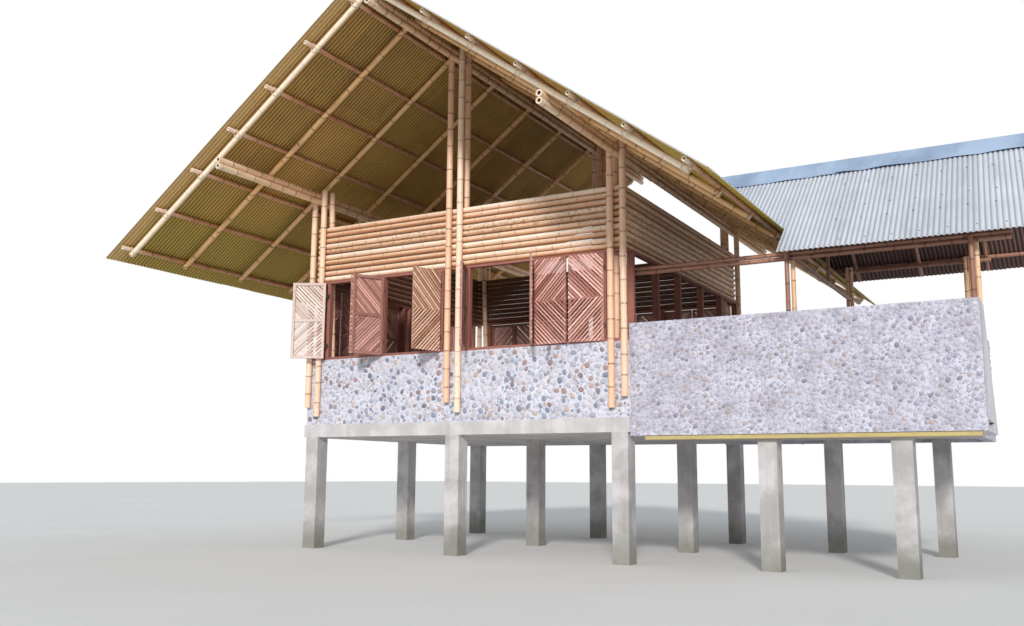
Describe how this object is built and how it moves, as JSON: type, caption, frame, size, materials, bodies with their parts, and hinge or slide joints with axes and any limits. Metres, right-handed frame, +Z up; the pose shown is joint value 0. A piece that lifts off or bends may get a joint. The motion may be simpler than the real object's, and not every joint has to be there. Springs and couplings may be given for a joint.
{
  "type": "stilt house",
  "caption": "Bamboo house on concrete columns with pebble walls, shuttered windows, a deep corrugated gable roof and a roofed side terrace.",
  "frame": {"origin": "ground level under the front end of the left wall plate, on the foot of the front left column", "axes": "+X along the front wall towards the terrace, +Y to the back along the main ridge, +Z up"},
  "size_m": [12.6901, 10.24, 7.9885],
  "materials": {
    "concrete": "weathered rendered concrete",
    "pebble": "river pebbles set in pale mortar",
    "timber": "stained hardwood",
    "bamboo": "dried pale bamboo, satin",
    "dark_bamboo": "dried brown bamboo, satin",
    "zinc": "weathered galvanized sheet",
    "ridge_sheet": "dull blue-grey sheet",
    "board": "weathered yellow board"
  },
  "bodies": {
    "root": {"main_columns": "concrete", "terrace_columns": "concrete", "main_slab": "concrete", "terrace_slab": "concrete", "front_dado": "pebble", "rear_dado": "pebble", "left_dado": "pebble", "right_dado_front": "pebble", "right_dado_rear": "pebble", "front_parapet": "pebble", "corner_wall": "pebble", "right_parapet": "pebble", "rear_parapet": "pebble", "front_left_frame": "timber", "front_right_frame": "timber", "rear_frames": "timber", "left_frames": "timber", "right_frames": "timber", "shutter_1": "timber", "shutter_2": "timber", "shutter_3": "timber", "shutter_4": "timber", "shutter_5": "timber", "shutter_6": "timber", "shutter_7": "timber", "shutter_8": "timber", "rear_shutters": "timber", "left_shutters": "timber", "front_left_band": "bamboo", "front_right_band": "bamboo", "rear_band": "bamboo", "left_band": "bamboo", "right_band": "bamboo", "front_left_posts": "bamboo", "front_middle_posts": "bamboo", "front_right_posts": "bamboo", "rear_posts": "bamboo", "left_plate": "bamboo", "right_plate": "bamboo", "ridge_beam": "bamboo", "left_rafters": "bamboo", "right_rafters": "bamboo", "terrace_posts": "bamboo", "terrace_plates": "bamboo", "terrace_frame": "bamboo", "terrace_rafters": "bamboo", "left_purlins": "dark_bamboo", "right_purlins": "dark_bamboo", "terrace_purlins": "dark_bamboo", "left_roof": "zinc", "right_roof": "zinc", "terrace_near_roof": "zinc", "terrace_far_roof": "zinc", "ridge_cap": "ridge_sheet", "terrace_cap": "ridge_sheet", "edge_board": "board"}
  },
  "joints": []
}
